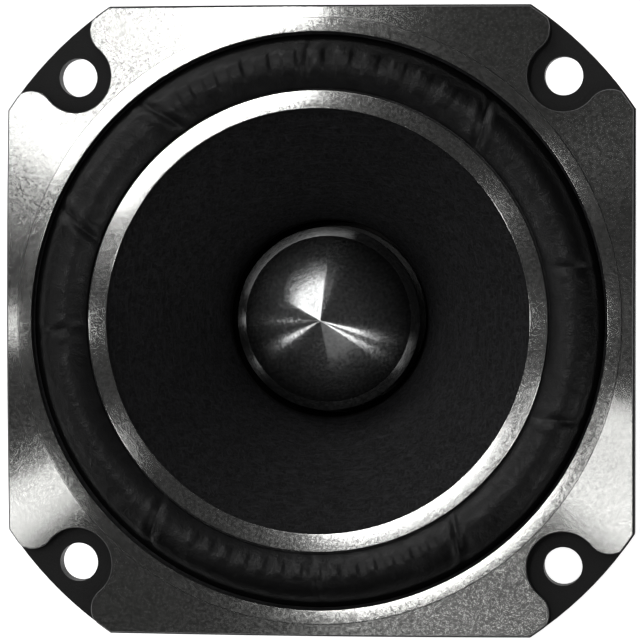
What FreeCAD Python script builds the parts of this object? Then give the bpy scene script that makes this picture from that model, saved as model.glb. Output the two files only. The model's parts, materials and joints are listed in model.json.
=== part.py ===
import FreeCAD, Part

import math
import os

import Sketcher

# A car tweeter: a small cone driver with a closed back and a fixed aluminium bullet in its middle.
#
# Millimetres. +Z is the way the sound leaves. The origin is on the speaker's axis, in the plane of the
# flange's rear face, which is the face that lies on the panel. The cone and its coil slide along Z.
# Sections are drawn in half planes through the axis: their x is the radius, their y is Z.

DIMENSIONS = {
    # flange and face plate
    "flange_width": 95.0,
    "corner_radius": 57.2,
    "bolt_circle": 104.0,
    "bolt_hole_radius": 2.9,
    "seat_height": 3.4,
    "seat_radius": 5.4,
    "lobe_radius": 3.65,
    "lobe_outward": 0.96,
    "opening_radius": 43.5,
    "rim_radius": 45.55,
    "rim_front": 6.7,
    "rim_step": 0.25,
    "plate_thickness": 1.0,
    "plate_fall": 0.15,
    "plate_inset": 0.25,
    "edge_break": 0.4,
    # basket
    "spigot_radius": 45.4,
    "spigot_length": 5.0,
    "lip_radius": 45.2,
    "lip_clearance": 0.1,
    "bowl_radius": 43.0,
    "bowl_taper_start": -3.0,
    "ledge_height": -14.5,
    "ledge_inner_radius": 29.5,
    "ledge_outer_radius": 36.0,
    "foot_radius": 34.6,
    "floor_thickness": 2.4,
    "floor_hole_radius": 22.0,
    "rib_thickness": 1.6,
    "rib_front": -8.0,
    "rib_foot_radius": 37.5,
    "floor_screw_circle": 51.5,
    "floor_screw_radius": 1.45,
    "floor_screw_length": 6.4,
    "floor_screw_head_radius": 2.6,
    "floor_screw_head_height": 1.6,
    "running_gap": 0.15,
    # motor
    "motor_front": -21.0,
    "top_plate_thickness": 5.0,
    "top_plate_radius": 33.0,
    "top_plate_bore": 16.35,
    "magnet_thickness": 11.0,
    "magnet_radius": 35.0,
    "magnet_bore": 18.5,
    "back_plate_thickness": 5.0,
    "back_plate_radius": 33.0,
    "back_plate_chamfer": 1.2,
    "pole_radius": 14.9,
    "pole_spigot_radius": 8.0,
    "plug_bolt_radius": 2.5,
    "plug_bolt_front": -12.5,
    "plug_head_radius": 4.75,
    "plug_head_height": 2.75,
    "plug_head_crown_radius": 2.85,
    "plug_head_side": 1.65,
    "head_recess_radius": 5.2,
    "head_recess_depth": 3.6,
    "hex_key_size": 3.0,
    "hex_key_depth": 1.6,
    # bullet
    "bullet_tip": 2.5,
    "bullet_cone_radius": 5.0,
    "bullet_cone_end": -1.28,
    "bullet_curve": 42.0,
    "bullet_bead_radius": 13.35,
    "bullet_bead": -9.6,
    "bullet_radius": 14.1,
    "bullet_rim": -10.3,
    "bullet_rim_height": 0.7,
    "bullet_stem_radius": 9.0,
    "bullet_stem_start": -14.0,
    "bullet_thread_depth": 9.5,
    # moving parts
    "ring_front": 7.3,
    "ring_thickness": 0.8,
    "ring_inner_radius": 31.93,
    "ring_outer_radius": 34.62,
    "surround_thickness": 0.4,
    "surround_inner_radius": 32.1,
    "roll_inner_radius": 35.5,
    "roll_outer_radius": 43.1,
    "roll_curve": 4.0,
    "gasket_thickness": 0.4,
    "cone_thickness": 0.5,
    "cone_edge_radius": 34.6,
    "cone_mouth_radius": 32.3,
    "cone_neck": -10.9,
    "cone_neck_height": 0.7,
    "cone_curve": 59.0,
    "former_radius": 15.25,
    "former_wall": 0.15,
    "former_front": -11.2,
    "former_rear": -27.9,
    "coil_build": 0.55,
    "coil_height": 8.0,
    "neck_glue_radius": 16.9,
    "neck_glue_front": -10.4,
    "neck_glue_rear": -13.2,
    "spider_thickness": 0.5,
    "spider_radius": 35.5,
    "spider_glue_gap": 0.25,
    # felt inside the cup
    "pole_felt_inner_radius": 9.3,
    "pole_felt_radius": 14.3,
    "pole_felt_thickness": 2.5,
    "cup_felt_rear": -11.8,
    "cup_felt_thickness": 3.2,
    "cup_felt_gap": 0.3,
    # terminals
    "board_front": -17.0,
    "board_thickness": 0.8,
    "board_half_width": 13.2,
    "board_near": 37.4,
    "board_far": 43.2,
    "terminal_row": 40.4,
    "post_offset": 5.6,
    "post_radius": 1.1,
    "post_head_radius": 1.6,
    "post_head_height": 0.8,
    "post_seat": -10.2,
    "post_seat_radius": 2.1,
    "tab_offset": 10.6,
    "tab_thickness": 0.8,
    "tab_length": 8.0,
    "tab_foot": 2.4,
    "positive_tab_width": 4.8,
    "negative_tab_width": 2.8,
    "tab_hole_radius": 0.7,
    "tab_hole_from_tip": 2.8,
    "capacitor_radius": 3.15,
    "capacitor_length": 11.0,
    "capacitor_standoff": 1.0,
    "capacitor_pitch": 2.5,
    "wire_radius": 0.3,
    "lead_radius": 0.45,
    "lead_bend": 4.0,
    "lead_inner_radius": 16.6,
}

CORNERS = 4
RIBS = 14
RIB_SPREAD_DEG = 292.5  # the ribs leave a gap for the terminals, which are on the -Y side
TERMINAL_AZIMUTH_DEG = -90.0
CUP_FELT_SPREAD_DEG = 320.0
LEAD_TURN_DEG = 110.0
BEYOND = 62.0  # a radius outside the whole flange
ABOVE = 12.0  # a height in front of everything

doc = FreeCAD.newDocument("car_tweeter")
dims = doc.addObject("Spreadsheet::Sheet", "dims")


class Size:
    """A length: its value in millimetres, and the sheet expression that gives the same value."""

    def __init__(self, value, text):
        self.value = float(value)
        self.text = text

    def __add__(self, other):
        return Size(self.value + as_size(other).value, f"({self.text} + {as_size(other).text})")

    def __sub__(self, other):
        return Size(self.value - as_size(other).value, f"({self.text} - {as_size(other).text})")

    def __mul__(self, other):
        return Size(self.value * as_size(other).value, f"({self.text} * {as_size(other).text})")

    def __truediv__(self, other):
        return Size(self.value / as_size(other).value, f"({self.text} / {as_size(other).text})")

    def __neg__(self):
        return Size(-self.value, f"(0 - {self.text})")


def as_size(length):
    return length if isinstance(length, Size) else Size(length, repr(float(length)))


def other_leg(long_side, leg):
    """The third side of a right triangle, from its long side and one leg."""
    value = math.sqrt(long_side.value**2 - leg.value**2)
    text = f"sqrt({long_side.text} * {long_side.text} - {leg.text} * {leg.text})"
    return Size(value, text)


def hypotenuse(first, second):
    """The long side of a right triangle, from its two legs."""
    value = math.hypot(first.value, second.value)
    text = f"sqrt({first.text} * {first.text} + {second.text} * {second.text})"
    return Size(value, text)


class Sheet:
    """The driving dimensions: S.flange_width is the size in the cell with that alias."""


S = Sheet()
for row, (alias, number) in enumerate(DIMENSIONS.items(), start=1):
    dims.set(f"A{row}", alias)
    dims.set(f"B{row}", str(number))
    dims.setAlias(f"B{row}", alias)
    setattr(S, alias, Size(number, f"dims.{alias}"))
doc.recompute()

parts = []


# ---------------------------------------------------------------- building helpers


def new_body(label):
    body = doc.addObject("PartDesign::Body", label)
    body.Label = label
    parts.append(body)
    return body


def origin_feature(body, role):
    return next(feature for feature in body.Origin.OriginFeatures if feature.Role == role)


def flat_sketch(body, name, height=0.0, turn_deg=0.0):
    """A sketch in a plane across the axis, at a height, turned about the axis."""
    sketch = body.newObject("Sketcher::SketchObject", name)
    sketch.AttachmentSupport = [(origin_feature(body, "XY_Plane"), "")]
    sketch.MapMode = "FlatFace"
    turn = FreeCAD.Rotation(FreeCAD.Vector(0, 0, 1), turn_deg)
    sketch.AttachmentOffset = FreeCAD.Placement(FreeCAD.Vector(0, 0, as_size(height).value), turn)
    sketch.setExpression("AttachmentOffset.Base.z", as_size(height).text)
    return sketch


def radial_sketch(body, name, azimuth_deg=0.0):
    """A sketch in the half plane through the axis at an azimuth: x is the radius, y is Z."""
    sketch = body.newObject("Sketcher::SketchObject", name)
    sketch.AttachmentSupport = [(origin_feature(body, "XZ_Plane"), "")]
    sketch.MapMode = "FlatFace"
    turn = FreeCAD.Rotation(FreeCAD.Vector(0, 1, 0), azimuth_deg)
    sketch.AttachmentOffset = FreeCAD.Placement(FreeCAD.Vector(0, 0, 0), turn)
    return sketch


def pin(sketch, geometry, end, point):
    """Fixes one end of a line or arc, or a circle's centre, at a point whose coordinates are sizes."""
    for kind, axis, length in (("DistanceX", -2, point[0]), ("DistanceY", -1, point[1])):
        length = as_size(length)
        if abs(length.value) < 1e-9:
            sketch.addConstraint(Sketcher.Constraint("PointOnObject", geometry, end, axis))
        else:
            index = sketch.addConstraint(Sketcher.Constraint(kind, geometry, end, length.value))
            sketch.setExpression(f"Constraints[{index}]", length.text)


def fix_radius(sketch, geometry, radius):
    index = sketch.addConstraint(Sketcher.Constraint("Radius", geometry, radius.value))
    sketch.setExpression(f"Constraints[{index}]", radius.text)


def arc_between(start, stop, radius, bulge):
    """An arc of under half a turn from start to stop that bulges to the left or right of the way."""
    chord = stop - start
    reach = math.sqrt(radius**2 - (chord.Length / 2) ** 2)
    left = FreeCAD.Vector(-chord.y, chord.x, 0).normalize()
    centre = (start + stop) * 0.5 + left * (-reach if bulge == "left" else reach)
    first, last = (stop, start) if bulge == "left" else (start, stop)
    circle = Part.Circle(centre, FreeCAD.Vector(0, 0, 1), radius)
    first_angle = math.atan2(first.y - centre.y, first.x - centre.x)
    last_angle = math.atan2(last.y - centre.y, last.x - centre.x)
    return Part.ArcOfCircle(circle, first_angle, last_angle)


def draw(sketch, corners, arcs=None, closed=True):
    """An outline through corners. arcs maps a side's number to its radius and its bulge."""
    arcs = arcs or {}
    points = [FreeCAD.Vector(as_size(x).value, as_size(y).value, 0) for x, y in corners]
    side_count = len(points) if closed else len(points) - 1
    sides = []
    for number in range(side_count):
        start = points[number]
        stop = points[(number + 1) % len(points)]
        if number in arcs:
            radius, bulge = arcs[number]
            arc = sketch.addGeometry(arc_between(start, stop, radius.value, bulge), False)
            fix_radius(sketch, arc, radius)
            sides.append((arc, 2, 1) if bulge == "left" else (arc, 1, 2))
        else:
            sides.append((sketch.addGeometry(Part.LineSegment(start, stop), False), 1, 2))
    for number, (geometry, first, last) in enumerate(sides):
        pin(sketch, geometry, first, corners[number])
        if closed or number + 1 < side_count:
            after, after_first, _ = sides[(number + 1) % side_count]
            sketch.addConstraint(Sketcher.Constraint("Coincident", geometry, last, after, after_first))
        else:
            pin(sketch, geometry, last, corners[-1])


def box_corners(x_low, x_high, y_low, y_high):
    return [(x_low, y_low), (x_high, y_low), (x_high, y_high), (x_low, y_high)]


def draw_circle(sketch, x, y, radius):
    centre = FreeCAD.Vector(as_size(x).value, as_size(y).value, 0)
    shape = Part.Circle(centre, FreeCAD.Vector(0, 0, 1), as_size(radius).value)
    geometry = sketch.addGeometry(shape, False)
    pin(sketch, geometry, 3, (x, y))
    fix_radius(sketch, geometry, as_size(radius))


def spin(body, sketch, name, kind="Revolution", degrees=360.0):
    """Turns a section about the axis, as material or as a groove."""
    feature = body.newObject(f"PartDesign::{kind}", name)
    feature.Profile = sketch
    feature.ReferenceAxis = (sketch, ["V_Axis"])
    feature.Angle = degrees
    return feature


def turned(label, corners, arcs=None):
    """A round piece, from its half section."""
    body = new_body(label)
    sketch = radial_sketch(body, f"{label}_section")
    draw(sketch, corners, arcs)
    spin(body, sketch, f"{label}_turned")
    return body


def tube(label, inner, outer, rear, front):
    return turned(label, box_corners(inner, outer, rear, front))


def pad(body, sketch, name, length, symmetric=False):
    """Material from a sketch, forward along its normal or half to each side of it."""
    feature = body.newObject("PartDesign::Pad", name)
    feature.Profile = sketch
    feature.setExpression("Length", as_size(length).text)
    feature.Midplane = symmetric
    return feature


def cut(body, sketch, name, depth=None, forward=True):
    """Takes material away from a sketch's plane to a depth, or right through both ways."""
    feature = body.newObject("PartDesign::Pocket", name)
    feature.Profile = sketch
    if depth is None:
        feature.Type = "ThroughAll"
        feature.Midplane = True
    else:
        feature.setExpression("Length", as_size(depth).text)
        feature.Reversed = forward
    return feature


def around(body, feature, name, count, degrees=360.0):
    """Repeats a feature about the axis."""
    pattern = body.newObject("PartDesign::PolarPattern", name)
    pattern.Originals = [feature]
    pattern.Axis = (origin_feature(body, "Z_Axis"), [""])
    pattern.Angle = degrees
    pattern.Occurrences = count
    body.Tip = pattern
    return pattern


def bevel(body, name, size, edges):
    """Chamfers the edges of the body so far that the edges function picks."""
    doc.recompute()
    base = body.Tip
    names = [f"Edge{n}" for n, edge in enumerate(base.Shape.Edges, start=1) if edges(edge)]
    feature = body.newObject("PartDesign::Chamfer", name)
    feature.Base = (base, names)
    feature.setExpression("Size", size.text)
    return feature


def circle_at(height, radius):
    """Picks the round edges about the axis with a height and a radius."""

    def picks(edge):
        curve = edge.Curve
        if not isinstance(curve, Part.Circle):
            return False
        on_axis = math.hypot(curve.Center.x, curve.Center.y) < 0.01
        there = abs(curve.Center.z - height.value) < 0.01
        return on_axis and there and abs(curve.Radius - radius.value) < 0.01

    return picks


# ---------------------------------------------------------------- levels and outlines that pieces share

RIM_BACK = S.rim_front - S.rim_step - S.plate_thickness
LIP_FRONT = RIM_BACK - S.gasket_thickness
LIP_BACK = LIP_FRONT - S.surround_thickness
RING_BACK = S.ring_front - S.ring_thickness
CONE_EDGE = RING_BACK - S.surround_thickness
FLOOR_FRONT = S.motor_front + S.floor_thickness
MAGNET_FRONT = S.motor_front - S.top_plate_thickness
MAGNET_BACK = MAGNET_FRONT - S.magnet_thickness
MOTOR_BACK = MAGNET_BACK - S.back_plate_thickness
FORMER_OUTER = S.former_radius + S.former_wall
GAP_CENTRE = S.motor_front - S.top_plate_thickness / 2
BOARD_BACK = S.board_front - S.board_thickness
HEAD_SEAT = MOTOR_BACK + S.head_recess_depth


def plate_back_at(radius):
    """The height of the face plate's rear, and of the flange under it, outside the rim."""
    return RIM_BACK - S.plate_fall * (as_size(radius) - S.rim_radius)


def trim_to_flange(body, inset):
    """Cuts a round blank to the flange's outline: a square whose corners are arcs about the axis."""
    half = S.flange_width / 2 - inset
    radius = S.corner_radius - inset
    reach = other_leg(radius, half)
    sketch = flat_sketch(body, f"{body.Label}_outline")
    corners = [
        (half, -reach), (half, reach), (reach, half), (-reach, half),
        (-half, reach), (-half, -reach), (-reach, -half), (reach, -half),
    ]
    draw(sketch, corners, {side: (radius, "right") for side in (1, 3, 5, 7)})
    draw_circle(sketch, 0, 0, BEYOND + 10)
    return cut(body, sketch, f"{body.Label}_trim")


def corner_scallops(body, height=None):
    """Opens the corners round the mounting holes: right through, or down to a height."""
    hole = S.bolt_circle / 2
    span = S.seat_radius + S.lobe_radius
    aside = other_leg(span, S.lobe_outward)
    share = S.seat_radius / span
    touch = hole + S.lobe_outward * share
    lobe_top = hole + S.lobe_outward + S.lobe_radius
    sketch = flat_sketch(body, f"{body.Label}_scallop_sketch", height or 0.0, 45)
    corners = [
        (touch, aside * share), (hole - S.seat_radius, 0), (touch, -(aside * share)),
        (lobe_top, -aside), (BEYOND + 5, -aside), (BEYOND + 5, aside), (lobe_top, aside),
    ]
    arcs = {
        0: (S.seat_radius, "right"),
        1: (S.seat_radius, "right"),
        2: (S.lobe_radius, "left"),
        6: (S.lobe_radius, "left"),
    }
    draw(sketch, corners, arcs)
    depth = None if height is None else ABOVE
    scallop = cut(body, sketch, f"{body.Label}_scallop", depth)
    return around(body, scallop, f"{body.Label}_scallops", CORNERS)


# ---------------------------------------------------------------- face plate and basket


def face_plate():
    """The turned aluminium plate: a flat rim round the opening, then a gentle cone to the edges."""
    label = "face_plate"
    body = new_body(label)
    section = radial_sketch(body, f"{label}_section")
    corners = [
        (S.opening_radius, RIM_BACK),
        (S.rim_radius, RIM_BACK),
        (BEYOND, plate_back_at(BEYOND)),
        (BEYOND, plate_back_at(BEYOND) + S.plate_thickness),
        (S.rim_radius, RIM_BACK + S.plate_thickness),
        (S.rim_radius, S.rim_front),
        (S.opening_radius, S.rim_front),
    ]
    draw(section, corners)
    spin(body, section, f"{label}_turned")
    trim_to_flange(body, S.plate_inset)
    corner_scallops(body)


def basket():
    """The moulded frame: the square flange, the closed cup with its ribs, and the terminal pad."""
    label = "basket"
    body = new_body(label)
    section = radial_sketch(body, f"{label}_section")
    blank = [
        (0, S.motor_front),
        (S.foot_radius, S.motor_front),
        (S.spigot_radius, -S.spigot_length),
        (S.spigot_radius, 0),
        (BEYOND, 0),
        (BEYOND, plate_back_at(BEYOND)),
        (S.rim_radius, RIM_BACK),
        (0, RIM_BACK),
    ]
    draw(section, blank)
    spin(body, section, f"{label}_blank")
    trim_to_flange(body, as_size(0))

    first_rib_deg = TERMINAL_AZIMUTH_DEG + (360 - RIB_SPREAD_DEG) / 2
    rib_sketch = radial_sketch(body, f"{label}_rib_sketch", first_rib_deg)
    rib = [
        (S.ledge_outer_radius, S.motor_front),
        (S.rib_foot_radius, S.motor_front),
        (S.spigot_radius, S.rib_front),
        (S.spigot_radius, -S.spigot_length),
        (S.bowl_radius, -S.spigot_length),
        (S.foot_radius, S.motor_front + S.edge_break),
    ]
    draw(rib_sketch, rib)
    first_rib = pad(body, rib_sketch, f"{label}_rib", S.rib_thickness, symmetric=True)
    around(body, first_rib, f"{label}_ribs", RIBS, RIB_SPREAD_DEG)

    pad_sketch = flat_sketch(body, f"{label}_pad_sketch", S.board_front, TERMINAL_AZIMUTH_DEG)
    draw(pad_sketch, box_corners(S.foot_radius, S.board_far, -S.board_half_width, S.board_half_width))
    pad(body, pad_sketch, f"{label}_terminal_pad", -S.spigot_length - S.board_front)

    cavity_sketch = radial_sketch(body, f"{label}_cavity_section")
    cavity = [
        (0, S.motor_front - 1),
        (S.floor_hole_radius, S.motor_front - 1),
        (S.floor_hole_radius, FLOOR_FRONT),
        (S.ledge_inner_radius, FLOOR_FRONT),
        (S.ledge_inner_radius, S.ledge_height),
        (S.ledge_outer_radius, S.ledge_height),
        (S.bowl_radius, S.bowl_taper_start),
        (S.bowl_radius, LIP_BACK),
        (S.lip_radius + S.lip_clearance, LIP_BACK),
        (S.lip_radius + S.lip_clearance, ABOVE),
        (0, ABOVE),
    ]
    draw(cavity_sketch, cavity)
    spin(body, cavity_sketch, f"{label}_cavity", "Groove")

    corner_scallops(body, S.seat_height)
    hole_sketch = flat_sketch(body, f"{label}_hole_sketch", 0.0, 45)
    draw_circle(hole_sketch, S.bolt_circle / 2, 0, S.bolt_hole_radius)
    hole = cut(body, hole_sketch, f"{label}_hole")
    around(body, hole, f"{label}_holes", CORNERS)

    screw_sketch = flat_sketch(body, f"{label}_screw_hole_sketch", FLOOR_FRONT, 45)
    draw_circle(screw_sketch, S.floor_screw_circle / 2, 0, S.floor_screw_radius + S.running_gap)
    screw_hole = cut(body, screw_sketch, f"{label}_screw_hole", S.floor_thickness, forward=False)
    around(body, screw_hole, f"{label}_screw_holes", CORNERS)

    seat_sketch = flat_sketch(body, f"{label}_post_seat_sketch", S.post_seat, TERMINAL_AZIMUTH_DEG)
    post_sketch = flat_sketch(body, f"{label}_post_hole_sketch", S.board_front, TERMINAL_AZIMUTH_DEG)
    for offset in (S.post_offset, -S.post_offset):
        draw_circle(seat_sketch, S.terminal_row, offset, S.post_seat_radius)
        draw_circle(post_sketch, S.terminal_row, offset, S.post_radius + S.running_gap)
    cut(body, seat_sketch, f"{label}_post_seats", -S.post_seat)
    cut(body, post_sketch, f"{label}_post_holes", S.post_seat - S.board_front)


def floor_screws():
    """The screws that hold the top plate under the cup's floor."""
    label = "floor_screws"
    body = new_body(label)
    tip = FLOOR_FRONT - S.floor_screw_length
    pieces = (
        ("shank", tip, S.floor_screw_radius, S.floor_screw_length),
        ("head", FLOOR_FRONT, S.floor_screw_head_radius, S.floor_screw_head_height),
    )
    for name, start, radius, length in pieces:
        sketch = flat_sketch(body, f"{label}_{name}_sketch", start, 45)
        for x_sign, y_sign in ((1, 0), (0, 1), (-1, 0), (0, -1)):
            circle_radius = S.floor_screw_circle / 2
            draw_circle(sketch, circle_radius * x_sign, circle_radius * y_sign, radius)
        pad(body, sketch, f"{label}_{name}", length)


# ---------------------------------------------------------------- motor


def top_plate():
    label = "top_plate"
    body = tube(label, S.top_plate_bore, S.top_plate_radius, MAGNET_FRONT, S.motor_front)
    sketch = flat_sketch(body, f"{label}_hole_sketch", S.motor_front, 45)
    draw_circle(sketch, S.floor_screw_circle / 2, 0, S.floor_screw_radius)
    hole = cut(body, sketch, f"{label}_hole")
    around(body, hole, f"{label}_holes", CORNERS)
    bevel(body, f"{label}_rim", S.edge_break, circle_at(S.motor_front, S.top_plate_radius))


def magnet():
    body = tube("magnet", S.magnet_bore, S.magnet_radius, MAGNET_BACK, MAGNET_FRONT)
    front = circle_at(MAGNET_FRONT, S.magnet_radius)
    back = circle_at(MAGNET_BACK, S.magnet_radius)
    bevel(body, "magnet_rims", S.edge_break, lambda edge: front(edge) or back(edge))


def back_plate():
    body = tube("back_plate", S.pole_spigot_radius, S.back_plate_radius, MOTOR_BACK, MAGNET_BACK)
    rim = circle_at(MOTOR_BACK, S.back_plate_radius)
    bevel(body, "back_plate_rim", S.back_plate_chamfer, rim)


def pole_piece():
    """The pole: it stands in the back plate and is bored through for the bullet's bolt."""
    bore = S.plug_bolt_radius + S.running_gap
    corners = [
        (bore, S.motor_front),
        (bore, HEAD_SEAT),
        (S.head_recess_radius, HEAD_SEAT),
        (S.head_recess_radius, MOTOR_BACK),
        (S.pole_spigot_radius, MOTOR_BACK),
        (S.pole_spigot_radius, MAGNET_BACK),
        (S.pole_radius, MAGNET_BACK),
        (S.pole_radius, S.motor_front),
    ]
    turned("pole_piece", corners)


def phase_plug():
    """The bullet: a straight tip, a long rounded shoulder, and a stem that stands on the pole."""
    thread_end = S.motor_front + S.bullet_thread_depth
    corners = [
        (0, S.bullet_tip),
        (0, thread_end),
        (S.plug_bolt_radius, thread_end),
        (S.plug_bolt_radius, S.motor_front),
        (S.bullet_stem_radius, S.motor_front),
        (S.bullet_stem_radius, S.bullet_stem_start),
        (S.bullet_radius, S.bullet_rim - S.bullet_rim_height),
        (S.bullet_radius, S.bullet_rim),
        (S.bullet_bead_radius, S.bullet_bead),
        (S.bullet_cone_radius, S.bullet_cone_end),
    ]
    turned("phase_plug", corners, {8: (S.bullet_curve, "right")})


def phase_plug_bolt():
    label = "phase_plug_bolt"
    body = new_body(label)
    section = radial_sketch(body, f"{label}_section")
    head_back = HEAD_SEAT - S.plug_head_height
    corners = [
        (0, head_back),
        (S.plug_head_crown_radius, head_back),
        (S.plug_head_radius, HEAD_SEAT - S.plug_head_side),
        (S.plug_head_radius, HEAD_SEAT),
        (S.plug_bolt_radius, HEAD_SEAT),
        (S.plug_bolt_radius, S.plug_bolt_front),
        (0, S.plug_bolt_front),
    ]
    draw(section, corners, {1: (S.plug_head_radius, "right")})
    spin(body, section, f"{label}_turned")
    key_sketch = flat_sketch(body, f"{label}_key_sketch", head_back)
    half = S.hex_key_size / 2
    tip = S.hex_key_size / math.sqrt(3)
    hexagon = [
        (tip, 0), (tip / 2, half), (-(tip / 2), half),
        (-tip, 0), (-(tip / 2), -half), (tip / 2, -half),
    ]
    draw(key_sketch, hexagon)
    cut(body, key_sketch, f"{label}_key", S.hex_key_depth)


# ---------------------------------------------------------------- moving parts and suspension


def cone_trim_ring():
    tube("cone_trim_ring", S.ring_inner_radius, S.ring_outer_radius, RING_BACK, S.ring_front)


def cone():
    """The paper cone: a flat edge under the ring, and a flare that steepens down to the neck."""
    corners = [
        (S.cone_edge_radius, CONE_EDGE),
        (S.cone_mouth_radius, CONE_EDGE),
        (FORMER_OUTER, S.cone_neck),
        (FORMER_OUTER, S.cone_neck - S.cone_neck_height),
        (S.cone_mouth_radius + S.cone_thickness, CONE_EDGE - S.cone_thickness),
        (S.cone_edge_radius, CONE_EDGE - S.cone_thickness),
    ]
    turned("cone", corners, {1: (S.cone_curve, "right"), 3: (S.cone_curve, "left")})


def surround():
    """The half roll: its inner lip is glued on the cone's edge and its outer lip lies on the basket."""
    skin = S.surround_thickness
    corners = [
        (S.surround_inner_radius, CONE_EDGE),
        (S.surround_inner_radius, RING_BACK),
        (S.roll_inner_radius, RING_BACK),
        (S.roll_outer_radius, LIP_FRONT),
        (S.lip_radius, LIP_FRONT),
        (S.lip_radius, LIP_BACK),
        (S.roll_outer_radius - skin, LIP_BACK),
        (S.roll_inner_radius + skin, CONE_EDGE),
    ]
    turned("surround", corners, {2: (S.roll_curve, "left"), 6: (S.roll_curve - skin, "right")})


def clamp_gasket():
    tube("clamp_gasket", S.bowl_radius + S.lip_clearance, S.lip_radius, LIP_FRONT, RIM_BACK)


def voice_coil_former():
    tube("voice_coil_former", S.former_radius, FORMER_OUTER, S.former_rear, S.former_front)


def voice_coil():
    rear = GAP_CENTRE - S.coil_height / 2
    tube("voice_coil", FORMER_OUTER, FORMER_OUTER + S.coil_build, rear, rear + S.coil_height)


def neck_glue():
    corners = [
        (FORMER_OUTER, S.neck_glue_rear),
        (S.neck_glue_radius, S.neck_glue_front),
        (FORMER_OUTER, S.cone_neck - S.cone_neck_height),
    ]
    turned("neck_glue", corners)


def spider():
    front = S.ledge_height + S.spider_thickness
    tube("spider", FORMER_OUTER + S.spider_glue_gap, S.spider_radius, S.ledge_height, front)


# ---------------------------------------------------------------- felt


def pole_felt():
    front = S.motor_front + S.pole_felt_thickness
    tube("pole_felt", S.pole_felt_inner_radius, S.pole_felt_radius, S.motor_front, front)


def cup_felt():
    """The felt that lines the cup's wall, open where the leads pass."""
    label = "cup_felt"
    body = new_body(label)
    start_deg = TERMINAL_AZIMUTH_DEG + (360 - CUP_FELT_SPREAD_DEG) / 2
    section = radial_sketch(body, f"{label}_section", start_deg)
    wall_slope = (S.bowl_radius - S.ledge_outer_radius) / (S.bowl_taper_start - S.ledge_height)
    outer = S.bowl_radius - S.cup_felt_gap
    outer_rear = outer - wall_slope * (S.bowl_taper_start - S.cup_felt_rear)
    corners = [
        (outer, 0),
        (outer, S.bowl_taper_start),
        (outer_rear, S.cup_felt_rear),
        (outer_rear - S.cup_felt_thickness, S.cup_felt_rear),
        (outer - S.cup_felt_thickness, 0),
    ]
    draw(section, corners)
    spin(body, section, f"{label}_turned", degrees=CUP_FELT_SPREAD_DEG)


# ---------------------------------------------------------------- terminals


def terminal_board():
    label = "terminal_board"
    body = new_body(label)
    sketch = flat_sketch(body, f"{label}_sketch", BOARD_BACK, TERMINAL_AZIMUTH_DEG)
    draw(sketch, box_corners(S.board_near, S.board_far, -S.board_half_width, S.board_half_width))
    for side in (1, -1):
        draw_circle(sketch, S.terminal_row, S.post_offset * side, S.post_radius + S.running_gap)
        draw_circle(sketch, S.terminal_row, S.capacitor_pitch / 2 * side, S.wire_radius + S.running_gap)
    pad(body, sketch, f"{label}_pad", S.board_thickness)


def terminal_posts():
    """The two brass posts that hold the board and carry the coil's current into the cup."""
    label = "terminal_posts"
    body = new_body(label)
    levels = (
        ("rear_head", BOARD_BACK - S.post_head_height, BOARD_BACK, S.post_head_radius),
        ("shank", BOARD_BACK, S.post_seat, S.post_radius),
        ("front_head", S.post_seat, S.post_seat + S.post_head_height, S.post_head_radius),
    )
    for name, low, high, radius in levels:
        sketch = flat_sketch(body, f"{label}_{name}_sketch", low, TERMINAL_AZIMUTH_DEG)
        for side in (1, -1):
            draw_circle(sketch, S.terminal_row, S.post_offset * side, radius)
        pad(body, sketch, f"{label}_{name}", high - low)


def terminal_tab(label, side, width):
    """A blade for a push-on connector: a foot soldered on the board, and the blade out to the rear."""
    body = new_body(label)
    middle = S.tab_offset * side
    low = middle - width / 2
    high = middle + width / 2
    half = S.tab_thickness / 2
    foot_back = BOARD_BACK - S.tab_thickness
    foot_sketch = flat_sketch(body, f"{label}_foot_sketch", foot_back, TERMINAL_AZIMUTH_DEG)
    draw(foot_sketch, box_corners(S.terminal_row - S.tab_foot, S.terminal_row + half, low, high))
    pad(body, foot_sketch, f"{label}_foot", S.tab_thickness)
    tip = BOARD_BACK - S.tab_length
    blade_sketch = flat_sketch(body, f"{label}_blade_sketch", tip, TERMINAL_AZIMUTH_DEG)
    draw(blade_sketch, box_corners(S.terminal_row - half, S.terminal_row + half, low, high))
    pad(body, blade_sketch, f"{label}_blade", S.tab_length)
    hole_sketch = body.newObject("Sketcher::SketchObject", f"{label}_hole_sketch")
    hole_sketch.AttachmentSupport = [(origin_feature(body, "XZ_Plane"), "")]
    hole_sketch.MapMode = "FlatFace"
    draw_circle(hole_sketch, middle, tip + S.tab_hole_from_tip, S.tab_hole_radius)
    cut(body, hole_sketch, f"{label}_hole")


def capacitor():
    """The high-pass capacitor, standing on the board between the posts."""
    label = "capacitor"
    body = new_body(label)
    rear = BOARD_BACK - S.capacitor_standoff - S.capacitor_length
    can_sketch = flat_sketch(body, f"{label}_can_sketch", rear, TERMINAL_AZIMUTH_DEG)
    draw_circle(can_sketch, S.terminal_row, 0, S.capacitor_radius)
    pad(body, can_sketch, f"{label}_can", S.capacitor_length)


def capacitor_wires():
    label = "capacitor_wires"
    body = new_body(label)
    rear = BOARD_BACK - S.capacitor_standoff
    sketch = flat_sketch(body, f"{label}_sketch", rear, TERMINAL_AZIMUTH_DEG)
    for side in (1, -1):
        draw_circle(sketch, S.terminal_row, S.capacitor_pitch / 2 * side, S.wire_radius)
    pad(body, sketch, f"{label}_pad", S.capacitor_standoff + S.board_thickness)


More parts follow.
